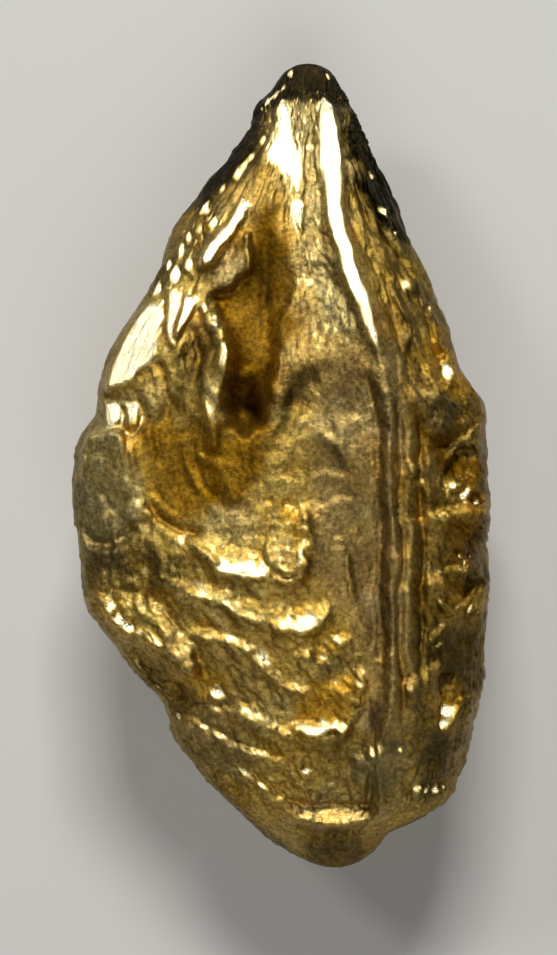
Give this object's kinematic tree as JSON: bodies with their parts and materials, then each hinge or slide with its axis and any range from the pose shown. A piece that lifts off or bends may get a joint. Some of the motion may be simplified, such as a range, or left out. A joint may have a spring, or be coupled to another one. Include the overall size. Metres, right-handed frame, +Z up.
{
  "type": "gold nugget",
  "caption": "Water-worn skeletal crystal of native gold, shaped like a seed, lying on its back, with a tip-to-butt crest, a deep hollow beside it and growth steps down both flanks.",
  "frame": {"origin": "centre of the bounding box in plan, on the surface that the nugget lies on", "axes": "+Y runs from the butt to the tip, +Z points up out of the worn flat it lies on, +X to the crest's side"},
  "size_m": [0.0122, 0.024, 0.0075],
  "materials": {
    "native_gold": "native gold, water-worn: polished on its crest and lips, grainy with frosted hollows"
  },
  "bodies": {
    "root": {"gold_nugget": "native_gold"}
  },
  "joints": []
}
